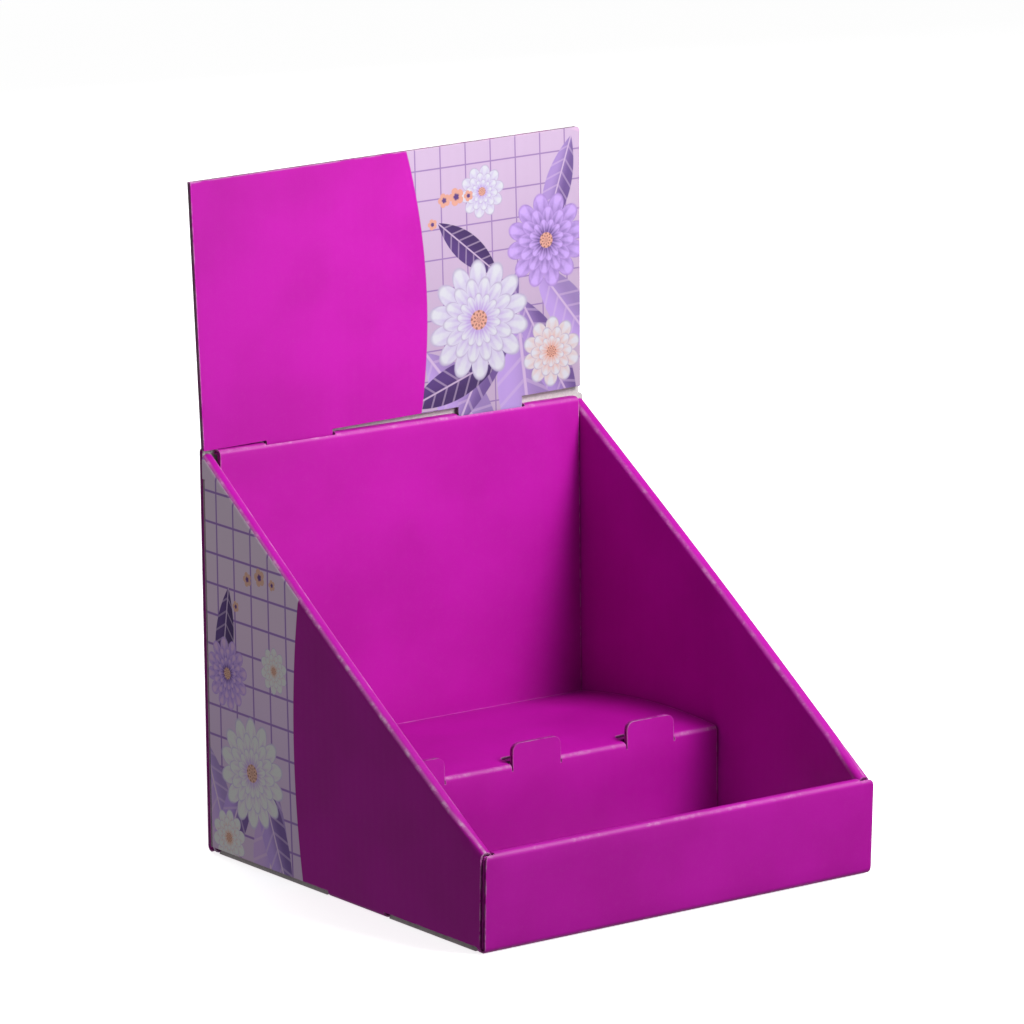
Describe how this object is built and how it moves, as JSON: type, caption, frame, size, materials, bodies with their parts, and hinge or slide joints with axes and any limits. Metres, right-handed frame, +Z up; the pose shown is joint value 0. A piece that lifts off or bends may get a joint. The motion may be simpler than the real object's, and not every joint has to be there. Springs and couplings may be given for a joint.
{
  "type": "counter display box",
  "caption": "Small corrugated-card counter display box with sloping rolled sides, a stepped insert with product stops and a slotted-in header card.",
  "frame": {"origin": "middle of the tray base's underside, on the surface that the box stands on", "axes": "+Z up; -Y towards the low front wall that faces the customer; +X to the right as seen from the front"},
  "size_m": [0.2579, 0.2552, 0.3678],
  "materials": {
    "tray_board": "semi-gloss laminated magenta print outside, plain grey liner behind",
    "insert_board": "semi-gloss laminated magenta print",
    "header_board": "semi-gloss laminated magenta print with a pale lilac picture field"
  },
  "bodies": {
    "root": {"display_tray": "tray_board", "step_insert": "insert_board", "header_card": "header_board"}
  },
  "joints": []
}
